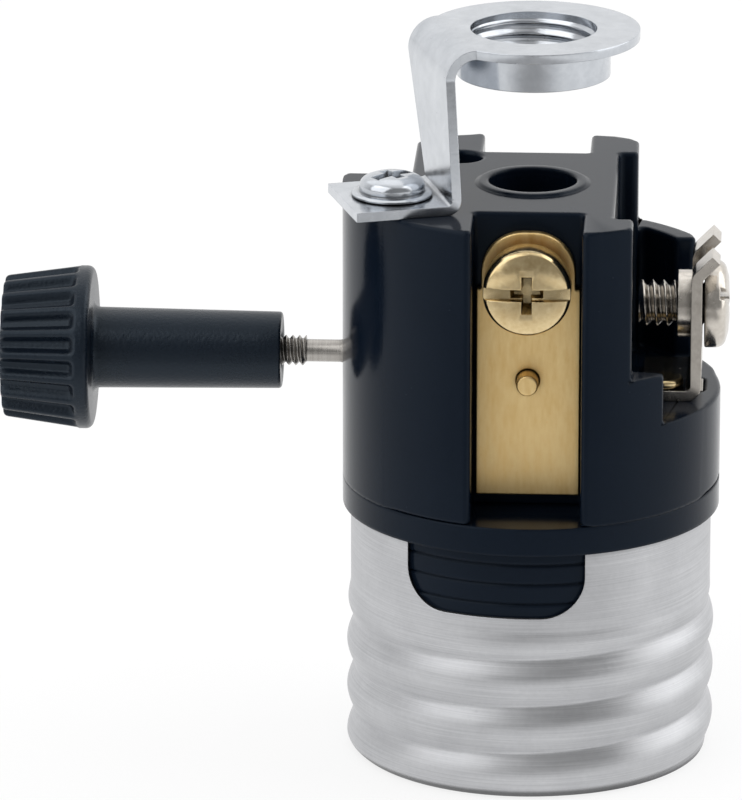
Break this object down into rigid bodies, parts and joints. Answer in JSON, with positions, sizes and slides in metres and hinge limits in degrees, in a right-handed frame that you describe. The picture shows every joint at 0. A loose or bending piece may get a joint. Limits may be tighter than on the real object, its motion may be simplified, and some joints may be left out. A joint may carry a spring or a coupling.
{
  "type": "lamp holder",
  "caption": "Turn-knob screw lamp holder interior with a rolled metal shell, moulded body, side terminals, threaded mounting ring and a removable ribbed knob.",
  "frame": {"origin": "on the axis of the screw shell, at its rim", "axes": "+Z along the shell's axis to the threaded ring of the bracket, -Y towards the brass terminal, +X towards the nickel terminal; the switch shaft leaves along -X"},
  "size_m": [0.0537, 0.028, 0.0551],
  "materials": {
    "shell_aluminium": "satin rolled aluminium",
    "phenolic": "glossy black moulded phenolic",
    "knob_black": "satin black moulded plastic",
    "zinc_plate": "bright zinc plate, slightly blue",
    "brass": "satin stamped brass",
    "nickel": "warm nickel plate"
  },
  "bodies": {
    "holder": {"screw_shell": "shell_aluminium", "base_disc": "phenolic", "upper_body": "phenolic", "bracket": "zinc_plate", "bracket_screw": "zinc_plate", "line_terminal_plate": "brass", "line_terminal_pin": "brass", "neutral_terminal_plate": "nickel", "neutral_terminal_rivet": "brass", "neutral_strap": "nickel", "detent_spring": "nickel", "feed_contact": "brass", "load_contact": "brass", "centre_contact_rivet": "brass", "assembly_screw_1": "zinc_plate", "assembly_screw_2": "zinc_plate"},
    "switch": {"switch_shaft": "nickel", "switch_collar": "nickel", "switch_rotor": "phenolic", "rotor_contact": "brass"},
    "knob": {"knob": "knob_black"},
    "line_screw": {"line_terminal_screw": "brass"},
    "neutral_screw": {"neutral_terminal_screw": "nickel"},
    "lamp_contact": {"centre_contact": "brass"}
  },
  "joints": [
    {"name": "knob_turn", "type": "hinge", "parent": "holder", "child": "switch", "pos_m": [0, 0, 0.0302], "axis": [1, 0, 0], "continuous": true},
    {"name": "knob_removal", "type": "slide", "parent": "switch", "child": "knob", "axis": [-1, 0, 0], "range_m": [0, 0.012]},
    {"name": "line_screw_travel", "type": "slide", "parent": "holder", "child": "line_screw", "axis": [0, -1, 0], "range_m": [-0.0009, 0.003]},
    {"name": "neutral_screw_travel", "type": "slide", "parent": "holder", "child": "neutral_screw", "axis": [1, 0, 0], "range_m": [0, 0.003]},
    {"name": "contact_flex", "type": "hinge", "parent": "holder", "child": "lamp_contact", "pos_m": [-0.006, 0, 0.0164], "axis": [0, -1, 0], "range_deg": [0, 8], "stiffness_Nm_per_rad": 0.02}
  ]
}
